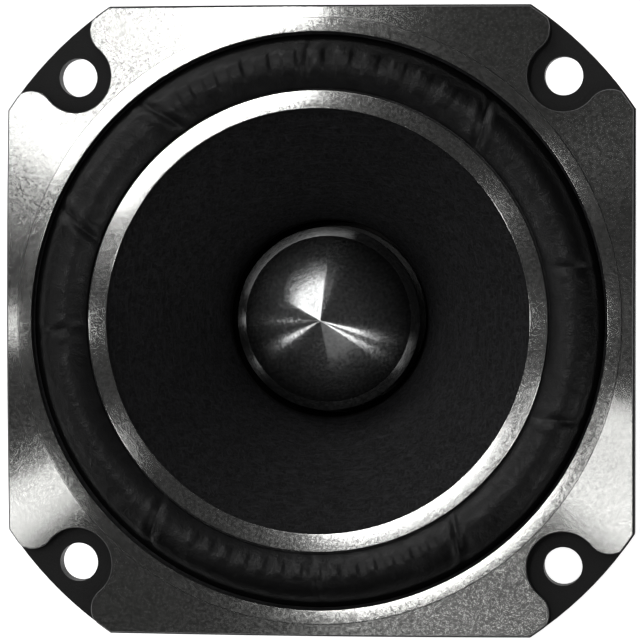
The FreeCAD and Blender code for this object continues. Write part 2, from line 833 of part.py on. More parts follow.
def lead(label, side):
    """A flexible lead from a post's head, over in a bend and down to the coil's wires at the neck."""
    body = new_body(label)
    aside = math.degrees(math.atan2(S.post_offset.value * side, S.terminal_row.value))
    azimuth_deg = TERMINAL_AZIMUTH_DEG + aside
    radius = hypotenuse(S.post_offset, S.terminal_row)
    start_height = S.post_seat + S.post_head_height
    turn = math.radians(LEAD_TURN_DEG)
    bend_radius = radius - S.lead_bend * (1 - math.cos(turn))
    bend_height = start_height + S.lead_bend * math.sin(turn)
    fall = (bend_radius - S.lead_inner_radius) / math.tan(turn)
    route = [
        (radius, start_height),
        (bend_radius, bend_height),
        (S.lead_inner_radius, bend_height + fall),
    ]
    path = radial_sketch(body, f"{label}_path", azimuth_deg)
    draw(path, route, {0: (S.lead_bend, "right")}, closed=False)
    section = flat_sketch(body, f"{label}_section", start_height, azimuth_deg)
    draw_circle(section, radius, 0, S.lead_radius)
    sweep = body.newObject("PartDesign::AdditivePipe", f"{label}_sweep")
    sweep.Profile = section
    sweep.Spine = (path, [])


# ---------------------------------------------------------------- build, check, write

face_plate()
basket()
floor_screws()
top_plate()
magnet()
back_plate()
pole_piece()
phase_plug()
phase_plug_bolt()
cone_trim_ring()
cone()
surround()
clamp_gasket()
voice_coil_former()
voice_coil()
neck_glue()
spider()
pole_felt()
cup_felt()
terminal_board()
terminal_posts()
terminal_tab("terminal_positive", 1, S.positive_tab_width)
terminal_tab("terminal_negative", -1, S.negative_tab_width)
capacitor()
capacitor_wires()
lead("lead_positive", 1)
lead("lead_negative", -1)
doc.recompute()

failed = [item.Name for item in doc.Objects if {"Invalid", "Error"} & set(item.State)]
if failed:
    raise RuntimeError(f"these did not build: {failed}")

os.makedirs("parts", exist_ok=True)
for part in parts:
    if part.Shape.isNull() or not part.Shape.isValid():
        raise RuntimeError(f"{part.Label} has no valid shape")
    part.Shape.exportStep(f"parts/{part.Label}.step")
    size = part.Shape.BoundBox
    print(
        f"{part.Label}: {len(part.Shape.Solids)} solids, {part.Shape.Volume:.1f} mm3,"
        f" z {size.ZMin:.2f} to {size.ZMax:.2f}"
    )
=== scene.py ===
import json
import math

import bmesh
import bpy
from mathutils import Matrix, Vector, geometry, kdtree, noise


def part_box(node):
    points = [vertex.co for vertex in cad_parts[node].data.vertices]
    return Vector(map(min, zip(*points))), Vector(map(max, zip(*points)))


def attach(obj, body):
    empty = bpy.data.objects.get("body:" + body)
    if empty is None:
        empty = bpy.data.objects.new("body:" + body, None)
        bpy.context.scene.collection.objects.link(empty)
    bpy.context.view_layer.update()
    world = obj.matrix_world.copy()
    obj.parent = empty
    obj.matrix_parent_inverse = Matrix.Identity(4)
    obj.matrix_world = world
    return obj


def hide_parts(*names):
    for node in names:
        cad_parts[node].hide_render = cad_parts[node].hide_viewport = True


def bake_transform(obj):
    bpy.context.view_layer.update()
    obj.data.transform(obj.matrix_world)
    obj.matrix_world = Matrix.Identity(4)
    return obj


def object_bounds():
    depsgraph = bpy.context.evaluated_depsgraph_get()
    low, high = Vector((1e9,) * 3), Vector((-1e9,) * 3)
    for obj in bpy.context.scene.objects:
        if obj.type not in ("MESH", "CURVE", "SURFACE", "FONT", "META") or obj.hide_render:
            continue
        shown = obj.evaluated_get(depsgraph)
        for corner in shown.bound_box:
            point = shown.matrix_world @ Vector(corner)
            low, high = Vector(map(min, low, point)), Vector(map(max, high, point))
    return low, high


# The looks of the car tweeter, in metres, in the part's own frame: +Z is the way the sound leaves, and
# the origin is on the axis in the plane of the flange's rear face.

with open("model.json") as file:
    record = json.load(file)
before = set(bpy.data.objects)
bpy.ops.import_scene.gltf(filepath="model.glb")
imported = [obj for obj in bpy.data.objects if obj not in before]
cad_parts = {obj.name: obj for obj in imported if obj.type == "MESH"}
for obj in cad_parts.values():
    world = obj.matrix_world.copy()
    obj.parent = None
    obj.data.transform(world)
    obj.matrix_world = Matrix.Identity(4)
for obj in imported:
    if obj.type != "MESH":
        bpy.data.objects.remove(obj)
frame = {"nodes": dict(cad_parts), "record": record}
CAD_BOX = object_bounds()
NODES = frame["nodes"]
FRAME_BODY = "frame"
CONE_BODY = "moving_cone"
MM = 0.001


# -------- sizes read from the frame


def top(node):
    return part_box(node)[1].z


def bottom(node):
    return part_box(node)[0].z


def radius_of(node):
    """The outer radius of a round node."""
    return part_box(node)[1].x


MOUNTS = {mount["name"]: mount for mount in frame["record"]["mounts"]}
HOLE_CIRCLE = MOUNTS["flange_bolts"]["dims"]["pcd_mm"] / 2 * MM
RIM_FRONT = top("face_plate")
RING_FRONT = top("cone_trim_ring")
RING_BACK = bottom("cone_trim_ring")
RING_OUTER = radius_of("cone_trim_ring")
LIP_OUTER = radius_of("surround")
LIP_BACK = bottom("surround")
LIP_FRONT = bottom("clamp_gasket")
RIM_BACK = top("clamp_gasket")
PLATE_HALF = radius_of("face_plate")
FORMER_OUTER = radius_of("voice_coil_former")
BULLET_RADIUS = radius_of("phase_plug")
BULLET_TIP = top("phase_plug")
CONE_EDGE = top("cone")
CONE_OUTER = radius_of("cone")
CONE_NECK = bottom("cone")
FLOOR = CAD_BOX[0].z


# -------- node materials


class Look:
    """A new material with a Principled shader, and short ways to wire nodes into it."""

    def __init__(self, name, roughness, metallic, color=(0.5, 0.5, 0.5)):
        self.material = bpy.data.materials.new(name)
        self.material.use_nodes = True
        self.tree = self.material.node_tree
        self.shader = self.tree.nodes["Principled BSDF"]
        self.set("Base Color", (*color, 1))
        self.set("Roughness", roughness)
        self.set("Metallic", metallic)

    def set(self, socket, value):
        self.shader.inputs[socket].default_value = value
        return self

    def node(self, kind, **settings):
        made = self.tree.nodes.new(f"ShaderNode{kind}")
        for name, value in settings.items():
            setattr(made, name, value)
        return made

    def link(self, source, target):
        self.tree.links.new(source, target)

    def plug(self, socket, value):
        """Links a socket to the one given as its value, or writes the value into it."""
        if isinstance(value, bpy.types.NodeSocket):
            self.link(value, socket)
        else:
            socket.default_value = value

    def feed(self, node, **values):
        """Plugs a node's inputs by name, with _ for a space."""
        for name, value in values.items():
            self.plug(node.inputs[name.replace("_", " ")], value)
        return node

    def position(self):
        return self.node("TexCoord").outputs["Object"]

    def parts(self, vector=None):
        """The X, Y and Z of a vector, or of the position."""
        split = self.node("SeparateXYZ")
        self.link(vector or self.position(), split.inputs[0])
        return split.outputs

    def maths(self, operation, first, second=0.0):
        """A Math node's result on one or two values, each a socket or a number."""
        made = self.node("Math", operation=operation)
        for socket, value in zip(made.inputs, (first, second)):
            self.plug(socket, value)
        return made.outputs[0]

    def mixed(self, first, second):
        """Six parts of one texture and four of another."""
        return self.maths("ADD", self.maths("MULTIPLY", first, 0.6), self.maths("MULTIPLY", second, 0.4))

    def noise(self, scale, detail, roughness, vector=None, distortion=0.0):
        """A noise texture of so many waves per metre."""
        made = self.node("TexNoise")
        self.feed(made, Scale=scale, Detail=detail, Roughness=roughness, Distortion=distortion)
        return self.feed(made, Vector=vector or self.position()).outputs["Fac"]

    def spread(self, value, low, high, from_low=0.3, from_high=0.7):
        """Maps from_low..from_high, a texture's middle range as a rule, to low..high."""
        made = self.feed(self.node("MapRange"), Value=value, From_Min=from_low, From_Max=from_high)
        return self.feed(made, To_Min=low, To_Max=high).outputs["Result"]

    def colours(self, value, dark, light, from_low=0.3, from_high=0.7):
        """Blends two colours by a texture."""
        ramp = self.node("ValToRGB")
        self.link(value, ramp.inputs["Fac"])
        places = (from_low, from_high)
        for element, place, colour in zip(ramp.color_ramp.elements, places, (dark, light)):
            element.position = place
            element.color = (*colour, 1)
        self.link(ramp.outputs["Color"], self.shader.inputs["Base Color"])

    def rough(self, value):
        self.link(value, self.shader.inputs["Roughness"])

    def bump(self, height, depth, strength=1.0):
        """Bump from a height texture whose full swing is depth metres."""
        made = self.feed(self.node("Bump"), Strength=strength, Distance=depth, Height=height)
        self.link(made.outputs["Normal"], self.shader.inputs["Normal"])

    def round_position(self):
        """Coordinates (distance from the axis, height, 0): a texture of them runs in rings."""
        place = self.parts()
        squares = [self.maths("MULTIPLY", place[axis], place[axis]) for axis in ("X", "Y")]
        radius = self.maths("SQRT", self.maths("ADD", *squares))
        return self.feed(self.node("CombineXYZ"), X=radius, Y=place["Z"]).outputs[0]


def turned_metal(name, roughness, anisotropy, color, painted_shade_ramp=None):
    """Metal turned in a lathe: fine rings, a cast grain, and a gloss that the rings stretch across them.

    The last argument is (start radius, stop radius, share): between the two radii the colour darkens to
    that share, a painted shade for the shoulder's dimmer reflections.
    """
    look = Look(name, roughness, 1.0, color)
    look.set("Anisotropic", anisotropy).set("Anisotropic Rotation", 0.25)
    tangent = look.node("Tangent", direction_type="RADIAL", axis="Z")
    look.link(tangent.outputs[0], look.shader.inputs["Tangent"])
    rings = look.round_position()
    fine = look.noise(5200, 5, 0.75, rings)
    broad = look.noise(850, 3, 0.6, rings)
    grain = look.noise(2300, 3, 0.65)
    smudge = look.noise(90, 3, 0.5)
    uneven = look.maths("ADD", look.spread(fine, -0.012, 0.012), look.spread(smudge, -0.006, 0.008))
    speckle = look.spread(grain, roughness * 0.80, roughness * 1.18, 0.36, 0.62)
    look.rough(look.maths("ADD", speckle, uneven))
    shade = look.spread(grain, 0.76, 1.0, 0.36, 0.62)
    # Painted shade: the colour darkens outward between two radii, where the shoulder would reflect less
    # light.
    if painted_shade_ramp:
        start, stop, share = painted_shade_ramp
        radius = look.parts(rings)["X"]
        shade = look.maths("MULTIPLY", shade, look.spread(radius, 1.0, share, start, stop))
    look.colours(shade, (0, 0, 0), color, 0, 1)
    look.bump(broad, 0.001 * MM)
    return look.material


def moulded_plastic(name):
    """Black glass-filled plastic with a fine spark-eroded grain."""
    black, roughness = (0.0045, 0.0045, 0.0045), 0.52
    look = Look(name, roughness, 0.0, black)
    grain = look.noise(3600, 3, 0.7)
    flow = look.noise(120, 3, 0.5)
    look.colours(look.mixed(grain, flow), black, tuple(channel * 1.9 for channel in black))
    look.rough(look.spread(flow, roughness - 0.06, roughness + 0.08))
    look.bump(grain, 0.05 * MM)
    look.set("Specular IOR Level", 0.26)
    return look.material


def pressed_paper(name):
    """Black paper pulp: short fibres felted in two directions, in a coat of damping lacquer."""
    look = Look(name, 0.62, 0.0)
    lays = []
    for scale, stretch, turn in ((1900, (1.0, 0.22, 1.0), 0.6), (1700, (0.25, 1.0, 1.0), 0.3)):
        mapping = look.feed(look.node("Mapping"), Vector=look.position(), Scale=stretch)
        look.feed(mapping, Rotation=(0, 0, turn))
        lays.append(look.noise(scale, 3, 0.7, mapping.outputs[0], 1.2))
    fibres = look.maths("MAXIMUM", *lays)
    look.colours(fibres, (0.0015, 0.0015, 0.0017), (0.020, 0.020, 0.022), 0.44, 0.74)
    look.rough(look.spread(fibres, 0.80, 0.58))
    look.set("Specular IOR Level", 0.24)
    look.bump(fibres, 0.13 * MM, 0.9)
    return look.material


def coated_foam(name):
    """The surround's skin: black, finely wrinkled, shinier where it was pressed, and with painted light
    that makes it paler near the ring.
    """
    look = Look(name, 0.45, 0.0)
    wrinkles = look.noise(420, 5, 0.62, distortion=0.7)
    pores = look.noise(3000, 2, 0.6)
    radius = look.parts(look.round_position())["X"]
    # Painted light: the wrinkled tone is paler inside 37.5 mm, standing in for the lit inner slope of the
    # roll.
    wrinkles_and_painted_light = look.maths("MULTIPLY", wrinkles, look.spread(radius, 1.0, 0.35, 37.5 * MM, 40.5 * MM))
    look.colours(wrinkles_and_painted_light, (0.0008, 0.0008, 0.0009), (0.014, 0.014, 0.0145), 0.15, 0.62)
    look.rough(look.spread(wrinkles, 0.48, 0.30))
    look.set("Specular IOR Level", 0.24)
    look.bump(look.maths("ADD", wrinkles, look.maths("MULTIPLY", pores, 0.25)), 0.16 * MM, 0.8)
    return look.material


def plated_steel(name, cool, warm):
    """Plated steel: a fine spangle, and a faint bloom from one colour to another."""
    look = Look(name, 0.42, 1.0)
    cells = look.feed(look.node("TexVoronoi"), Vector=look.position(), Scale=700).outputs["Distance"]
    spangle = look.maths("MULTIPLY", cells, 0.3)
    bloom = look.noise(55, 4, 0.6)
    look.colours(bloom, cool, warm)
    look.rough(look.spread(look.maths("ADD", bloom, spangle), 0.36, 0.54, 0.3, 0.9))
    look.bump(look.noise(1500, 4, 0.6), 0.02 * MM)
    return look.material


def sintered_ferrite(name):
    """Ground ferrite: near black, with pits and the grey drag of the grinding wheel."""
    look = Look(name, 0.55, 0.0)
    drag = look.noise(900, 4, 0.7, look.round_position())
    pits = look.noise(650, 5, 0.7)
    look.colours(look.mixed(drag, pits), (0.018, 0.018, 0.020), (0.070, 0.070, 0.076))
    look.rough(look.spread(pits, 0.42, 0.68))
    look.bump(pits, 0.06 * MM)
    return look.material


def felted_wool(name):
    """Grey felt, hairy and dull."""
    look = Look(name, 0.9, 0.0)
    hairs = look.noise(1300, 6, 0.75, distortion=2.0)
    look.colours(hairs, (0.07, 0.07, 0.075), (0.26, 0.26, 0.25))
    look.bump(hairs, 0.4 * MM)
    look.set("Sheen Weight", 0.4)
    return look.material


def resined_cloth(name):
    """Spider cloth: an open square weave, stiff with amber resin."""
    look = Look(name, 0.6, 0.0)
    pitch = 0.55 * MM
    place = look.parts()
    turns = [look.maths("MULTIPLY", place[axis], 2 * math.pi / pitch) for axis in ("X", "Y")]
    weave = look.maths("MULTIPLY", *(look.maths("SINE", turn) for turn in turns))
    look.colours(look.spread(weave, 0, 1, -1, 1), (0.22, 0.12, 0.03), (0.55, 0.37, 0.13))
    look.bump(weave, 0.06 * MM)
    return look.material


def wound_wire(name, color):
    """Enamelled wire: bright metal under a clear coat."""
    look = Look(name, 0.28, 1.0)
    tint = look.noise(260, 3, 0.5)
    look.colours(tint, tuple(channel * 0.8 for channel in color), color)
    look.rough(look.spread(tint, 0.2, 0.36))
    look.set("Coat Weight", 0.5)
    return look.material


def dark_film(name):
    """The former's heat-proof film, black and matt so that nothing shines in the gap round the bullet: its
    near-black colour is painted shade for that deep gap.
    """
    look = Look(name, 0.7, 0.0)
    flow = look.noise(200, 3, 0.5)
    look.colours(flow, (0.0010, 0.0009, 0.0008), (0.0040, 0.0034, 0.0030))
    look.rough(look.spread(flow, 0.62, 0.78))
    look.set("Specular IOR Level", 0.08)
    return look.material


def set_glue(name):
    """Black adhesive, set with an uneven shine."""
    look = Look(name, 0.3, 0.0)
    flow = look.noise(500, 3, 0.5)
    look.colours(flow, (0.012, 0.012, 0.012), (0.024, 0.024, 0.024))
    look.rough(look.spread(flow, 0.2, 0.42))
    look.bump(flow, 0.1 * MM)
    return look.material


def soft_metal(name, color, roughness=0.3):
    """Tinned or bare brass, solder and wire: bright, with handling marks."""
    look = Look(name, roughness, 1.0)
    marks = look.noise(700, 5, 0.65)
    look.colours(marks, tuple(channel * 0.72 for channel in color), color)
    look.rough(look.spread(marks, roughness - 0.08, roughness + 0.14))
    look.bump(marks, 0.015 * MM)
    return look.material


def phenolic_board(name):
    """Brown resin-bonded paper board."""
    look = Look(name, 0.42, 0.0)
    fibre = look.noise(1400, 4, 0.7)
    look.colours(fibre, (0.20, 0.115, 0.035), (0.34, 0.20, 0.07))
    look.rough(look.spread(fibre, 0.35, 0.52))
    look.bump(fibre, 0.02 * MM)
    return look.material


def shrink_sleeve(name, middle):
    """A dark blue sleeve with one pale stripe down the side that faces away from the magnet."""
    look = Look(name, 0.28, 0.0)
    stripe_aside, stripe_half = 1.1 * MM, 0.7 * MM
    place = look.parts()
    across = look.maths("ABSOLUTE", look.maths("SUBTRACT", place["X"], middle.x + stripe_aside))
    outward = look.maths("LESS_THAN", place["Y"], middle.y)
    stripe = look.maths("MULTIPLY", look.maths("LESS_THAN", across, stripe_half), outward)
    look.colours(stripe, (0.008, 0.018, 0.075), (0.42, 0.46, 0.50), 0.4, 0.6)
    look.rough(look.spread(look.noise(300, 3, 0.5), 0.22, 0.36))
    look.bump(look.noise(260, 2, 0.5), 0.04 * MM)
    return look.material


def braided_lead(name):
    """Fine copper wires braided round cotton."""
    look = Look(name, 0.45, 1.0)
    braid = look.noise(2600, 2, 0.5, distortion=1.5)
    look.colours(braid, (0.20, 0.10, 0.05), (0.62, 0.36, 0.20))
    look.bump(braid, 0.1 * MM)
    return look.material


def pale_floor(name):
    """A pale floor with light of its own, so that the shadows on it stay faint."""
    look = Look(name, 0.7, 0.0, (0.9, 0.9, 0.9))
    look.rough(look.spread(look.noise(8, 3, 0.5), 0.66, 0.74))
    look.set("Emission Color", (1, 1, 1, 1)).set("Emission Strength", 0.85)
    return look.material


PLATE_METAL = turned_metal("turned_plate", 0.195, 1.0, (0.86, 0.86, 0.835))
RING_METAL = turned_metal("turned_ring", 0.200, 1.0, (0.90, 0.90, 0.88))
# The bullet's colour darkens from 4 mm to 13 mm out: painted shade on its shoulder and bead.
BULLET_METAL = turned_metal("turned_bullet", 0.205, 0.95, (0.99, 1.0, 1.0), (4.0 * MM, 13.0 * MM, 0.12))
# The steep walls' metal is far darker than the faced metal: painted shade for the narrow steps and edges.
PAINTED_SHADE_WALL_METAL = soft_metal("wall_aluminium_painted_shade", (0.17, 0.17, 0.17), 0.5)
BLACK_PLASTIC = moulded_plastic("black_plastic")
PAPER = pressed_paper("paper_pulp")
FOAM = coated_foam("coated_foam")
STEEL = plated_steel("zinc_plate", (0.22, 0.23, 0.25), (0.36, 0.34, 0.28))
BLACK_STEEL = plated_steel("black_oxide", (0.012, 0.012, 0.014), (0.024, 0.023, 0.022))
FERRITE = sintered_ferrite("ferrite")
FELT = felted_wool("grey_felt")
CLOTH = resined_cloth("resined_cloth")
COPPER = wound_wire("enamelled_wire", (0.72, 0.32, 0.14))
FILM = dark_film("dark_film")
GLUE = set_glue("black_glue")
BRASS = soft_metal("brass", (0.80, 0.60, 0.30))
TIN = soft_metal("tinned_brass", (0.78, 0.77, 0.73))
SOLDER = soft_metal("solder", (0.70, 0.70, 0.71), 0.24)
BOARD = phenolic_board("phenolic_board")
LEAD = braided_lead("braided_lead")


# -------- mesh helpers


def placed(name, data):
    """A new object in the scene."""
    made = bpy.data.objects.new(name, data)
    bpy.context.scene.collection.objects.link(made)
    return made


def new_object(name, mesh, material, body, replaced=(), sharp_deg=30):
    """Finishes a piece: smooth faces with sharp edges, a material, a body and the nodes it stands for."""
    mesh.name = name
    mesh.materials.append(material)
    mesh.polygons.foreach_set("use_smooth", [True] * len(mesh.polygons))
    mesh.set_sharp_from_angle(angle=math.radians(sharp_deg))
    piece = placed(name, mesh)
    if body is not None:
        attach(piece, body)
    if replaced:
        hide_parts(*replaced)
    return piece


def turned_piece(name, mesh, material, body, replaced=(), sharp_deg=50):
    """A turned aluminium piece. Its steep faces get a duller metal whose dark colour is painted shade on
    the narrow walls.
    """
    new_object(name, mesh, material, body, replaced, sharp_deg)
    mesh.materials.append(PAINTED_SHADE_WALL_METAL)
    least_upward = 0.75
    for face in mesh.polygons:
        if abs(face.normal.z) < least_upward:
            face.material_index = 1


def finished(shell, mesh=None):
    """Turns a shell's faces outward and writes it into a mesh."""
    bmesh.ops.recalc_face_normals(shell, faces=shell.faces)
    mesh = mesh or bpy.data.meshes.new("piece")
    shell.to_mesh(mesh)
    shell.free()
    return mesh


def mesh_of(points, faces):
    mesh = bpy.data.meshes.new("piece")
    mesh.from_pydata([tuple(point) for point in points], [], faces)
    mesh.validate()
    shell = bmesh.new()
    shell.from_mesh(mesh)
    return finished(shell, mesh)


def arc_points(centre, radius, start_deg, stop_deg, steps):
    """Points along an arc of a section, both ends included."""
    angles = [math.radians(start_deg + (stop_deg - start_deg) * n / steps) for n in range(steps + 1)]
    return [(centre[0] + radius * math.cos(a), centre[1] + radius * math.sin(a)) for a in angles]


def swept_angles(centre, start, stop, steps):
    """Angles along the shorter arc about a centre from start to stop, both ends included."""
    first = math.atan2(start.y - centre.y, start.x - centre.x)
    last = math.atan2(stop.y - centre.y, stop.x - centre.x)
    turn = (last - first + math.pi) % (2 * math.pi) - math.pi
    return [first + turn * n / steps for n in range(steps + 1)]


def arc_through(start, stop, radius, bulge, steps):
    """Points of the arc of a radius from start to stop that bulges to one side of the way."""
    start, stop = Vector(start), Vector(stop)
    chord = stop - start
    reach = math.sqrt(radius**2 - (chord.length / 2) ** 2)
    left = Vector((-chord.y, chord.x)).normalized()
    centre = (start + stop) / 2 + left * (-reach if bulge == "left" else reach)
    angles = swept_angles(centre, start, stop, steps)
    return [(centre.x + radius * math.cos(a), centre.y + radius * math.sin(a)) for a in angles]


def eased(corners, size):
    """A closed section whose corners are rounded by a small size."""
    steps = 4
    points = []
    for number, corner in enumerate(corners):
        here = Vector(corner)
        before = Vector(corners[number - 1])
        after = Vector(corners[(number + 1) % len(corners)])
        reach = min(size, (before - here).length * 0.45, (after - here).length * 0.45)
        first = here + (before - here).normalized() * reach
        last = here + (after - here).normalized() * reach
        for n in range(steps + 1):
            share = n / steps
            middle = here * (2 * share * (1 - share))
            points.append(tuple(first * (1 - share) ** 2 + middle + last * share**2))
    return points


def lathe_mesh(section, segments, shape=None):
    """Turns a closed section about the axis. shape(point, azimuth) may move each point of it."""
    count = len(section)
    points = []
    for step in range(segments):
        azimuth = 2 * math.pi * step / segments
        for radius, height in section:
            point = Vector((radius * math.cos(azimuth), radius * math.sin(azimuth), height))
            points.append(shape(point, azimuth) if shape else point)
    faces = []
    for step in range(segments):
        after = (step + 1) % segments
        for n in range(count):
            up = (n + 1) % count
            faces.append((step * count + n, after * count + n, after * count + up, step * count + up))
    return mesh_of(points, faces)


def solid_mesh(section, segments, centre=(0.0, 0.0)):
    """Turns an open section that starts and ends on its axis. The axis may stand aside of the frame's."""
    inner = section[1:-1]
    count = len(inner)
    points = [(centre[0], centre[1], section[0][1]), (centre[0], centre[1], section[-1][1])]
    for step in range(segments):
        azimuth = 2 * math.pi * step / segments
        for radius, height in inner:
            x = centre[0] + radius * math.cos(azimuth)
            points.append((x, centre[1] + radius * math.sin(azimuth), height))
    faces = []
    for step in range(segments):
        here = 2 + step * count
        after = 2 + (step + 1) % segments * count
        faces.append((0, after, here))
        faces.append((1, here + count - 1, after + count - 1))
        for n in range(count - 1):
            faces.append((here + n, after + n, after + n + 1, here + n + 1))
    return mesh_of(points, faces)


def ripple(point, scale, height):
    """A smooth random height at a point."""
    return noise.noise(point * scale) * height


# -------- face plate

# Radii and heights of the plate. A seat is the scallop round a screw hole, and a lobe is the round shoulder
# on each side of it. fall is how far the plate drops outward per unit of radius.
PLATE = {
    "corner": 56.95 * MM,
    "seat": 5.4 * MM,
    "lobe": 3.65 * MM,
    "lobe_out": 0.96 * MM,
    "rim_outer": 45.55 * MM,
    "opening": 43.5 * MM,
    "step": 0.25 * MM,
    "groove": 0.10 * MM,
    "groove_depth": 0.35 * MM,
    "fall": 0.15,
    "thickness": 1.0 * MM,
    "edge_break": 0.12 * MM,
}
PLATE_STEP_FRONT = RIM_FRONT - PLATE["step"]
PLATE_INNER = PLATE["rim_outer"] + PLATE["groove"]


def plate_front_at(radius):
    """The height of the plate's front outside its rim."""
    return PLATE_STEP_FRONT - PLATE["fall"] * (radius - PLATE["rim_outer"])


def circles_meet(first, first_radius, second, second_radius, near):
    """The point where two circles cross that lies nearer to a given one."""
    way = second - first
    along = (first_radius**2 - second_radius**2 + way.length_squared) / (2 * way.length)
    aside = math.sqrt(first_radius**2 - along**2)
    direction = way.normalized()
    normal = Vector((-direction.y, direction.x))
    foot = first + direction * along
    return min((foot + normal * aside, foot - normal * aside), key=lambda point: (point - near).length)


def arc_about(centre, radius, start, stop, steps):
    """Points along the shorter arc about a centre from start up to, but without, stop."""
    angles = swept_angles(centre, start, stop, steps)[:-1]
    return [centre + Vector((math.cos(a), math.sin(a))) * radius for a in angles]


def corner_outline(inset):
    """The plate's edge round one corner, turned so that the corner's screw hole is on the X axis."""
    corner_steps, lobe_steps, seat_steps = 12, 18, 26
    corner = PLATE["corner"] - inset
    seat = PLATE["seat"] + inset
    lobe = PLATE["lobe"] - inset
    half = PLATE_HALF - inset
    origin = Vector((0, 0))
    hole = Vector((HOLE_CIRCLE, 0))
    lobe_aside = math.sqrt((PLATE["seat"] + PLATE["lobe"]) ** 2 - PLATE["lobe_out"] ** 2)
    lobes = [hole + Vector((PLATE["lobe_out"], aside)) for aside in (-lobe_aside, lobe_aside)]
    touches = [hole + (centre - hole).normalized() * seat for centre in lobes]
    crosses = [circles_meet(origin, corner, centre, lobe, Vector((corner, centre.y))) for centre in lobes]
    nose = hole + Vector((-seat, 0))
    side = math.sqrt(corner**2 - half**2)
    turn = Matrix.Rotation(math.radians(-45), 2)
    start = turn @ Vector((half, side))
    stop = turn @ Vector((side, half))
    return (
        arc_about(origin, corner, start, crosses[0], corner_steps)
        + arc_about(lobes[0], lobe, crosses[0], touches[0], lobe_steps)
        + arc_about(hole, seat, touches[0], nose, seat_steps)
        + arc_about(hole, seat, nose, touches[1], seat_steps)
        + arc_about(lobes[1], lobe, touches[1], crosses[1], lobe_steps)
        + arc_about(origin, corner, crosses[1], stop, corner_steps)
        + [stop]
    )


def plate_outline(inset):
    """The whole edge of the plate, one corner after the other, with points along its straight sides."""
    side_steps = 180
    outline = []
    for quarter in range(4):
        turn = Matrix.Rotation(math.radians(45 + 90 * quarter), 2)
        corner = [turn @ point for point in corner_outline(inset)]
        following = Matrix.Rotation(math.radians(90), 2) @ corner[0]
        outline += corner
        outline += [corner[-1].lerp(following, n / side_steps) for n in range(1, side_steps)]
    return outline


def net_points(front_edge):
    """Rings of points on the plate between its inner edge and its outline, seen from the front."""
    outline_tree = kdtree.KDTree(len(front_edge))
    for n, point in enumerate(front_edge):
        outline_tree.insert((point.x, point.y, 0), n)
    outline_tree.balance()
    ring_step = 0.6 * MM
    point_step = 1.6 * ring_step
    clear = ring_step / 2
    points = []
    radius = PLATE_INNER + ring_step
    while radius < PLATE["corner"]:
        count = round(2 * math.pi * radius / point_step)
        for n in range(count):
            azimuth = 2 * math.pi * n / count
            point = Vector((math.cos(azimuth), math.sin(azimuth))) * radius
            if outline_tree.find((point.x, point.y, 0))[2] > clear:
                points.append(point)
        radius += ring_step
    return points


def plate_net(inner, front_edge):
    """Fills the plate's outline with triangles, all but its opening: the points and the faces."""
    first = len(inner)
    loops = [(n, (n + 1) % first) for n in range(first)]
    loops += [(first + n, first + (n + 1) % len(front_edge)) for n in range(len(front_edge))]
    inside_only, tolerance = 1, 1e-7
    found, _, triangles, *_ = geometry.delaunay_2d_cdt(
        inner + front_edge + net_points(front_edge), loops, [], inside_only, tolerance)
    rim_edge = PLATE_INNER * 1.0001
    return found, [face for face in triangles if any(found[n].length > rim_edge for n in face)]


def plate_cone_mesh():
    """The plate outside its rim: a fine net on the cone, a broken edge, the wall and the back."""
    inner_count = 480
    angles = [2 * math.pi * n / inner_count for n in range(inner_count)]
    inner = [Vector((math.cos(a), math.sin(a))) * PLATE_INNER for a in angles]
    front_edge = plate_outline(PLATE["edge_break"])
    wall_edge = plate_outline(0.0)
    found, triangles = plate_net(inner, front_edge)
    shell = bmesh.new()

    def sunk(points, depth):
        return [shell.verts.new((p.x, p.y, plate_front_at(p.length) - depth)) for p in points]

    front, back = sunk(found, 0.0), sunk(found, PLATE["thickness"])
    for face in triangles:
        shell.faces.new([front[corner] for corner in face])
        shell.faces.new([back[corner] for corner in reversed(face)])
    low_wall, high_wall = sunk(wall_edge, PLATE["thickness"]), sunk(wall_edge, PLATE["edge_break"])
    for n in range(len(wall_edge)):
        after = (n + 1) % len(wall_edge)
        here, there = inner_count + n, inner_count + after
        shell.faces.new((front[here], high_wall[n], high_wall[after], front[there]))
        shell.faces.new((high_wall[n], low_wall[n], low_wall[after], high_wall[after]))
        shell.faces.new((low_wall[n], back[here], back[there], low_wall[after]))
    for n in range(inner_count):
        after = (n + 1) % inner_count
        shell.faces.new((front[n], front[after], back[after], back[n]))
    loose = [vert for vert in shell.verts if not vert.link_faces]
    bmesh.ops.delete(shell, geom=loose, context="VERTS")
    return finished(shell)


def face_plate():
    """The plate in two pieces: the wide cone, and the rim that stands a step higher inside a groove."""
    turned_piece("face_plate_cone", plate_cone_mesh(), PLATE_METAL, FRAME_BODY, ["face_plate"], 20)
    groove_floor = PLATE_STEP_FRONT - PLATE["groove_depth"]
    section = eased([
        (PLATE_INNER, PLATE_STEP_FRONT - PLATE["thickness"]),
        (PLATE_INNER, groove_floor),
        (PLATE["rim_outer"], groove_floor),
        (PLATE["rim_outer"], RIM_FRONT),
        (PLATE["opening"], RIM_FRONT),
        (PLATE["opening"], RIM_BACK),
    ], 0.05 * MM)
    turned_piece("face_plate_rim", lathe_mesh(section, 720), PLATE_METAL, FRAME_BODY)


# -------- moving pieces and bullet


def trim_ring():
    """The flat ring on the cone's edge."""
    inner = 31.93 * MM
    section = eased([
        (inner, RING_BACK), (RING_OUTER, RING_BACK), (RING_OUTER, RING_FRONT), (inner, RING_FRONT),
    ], 0.1 * MM)
    turned_piece("cone_trim_ring_turned", lathe_mesh(section, 720), RING_METAL, CONE_BODY,
                 ["cone_trim_ring"])


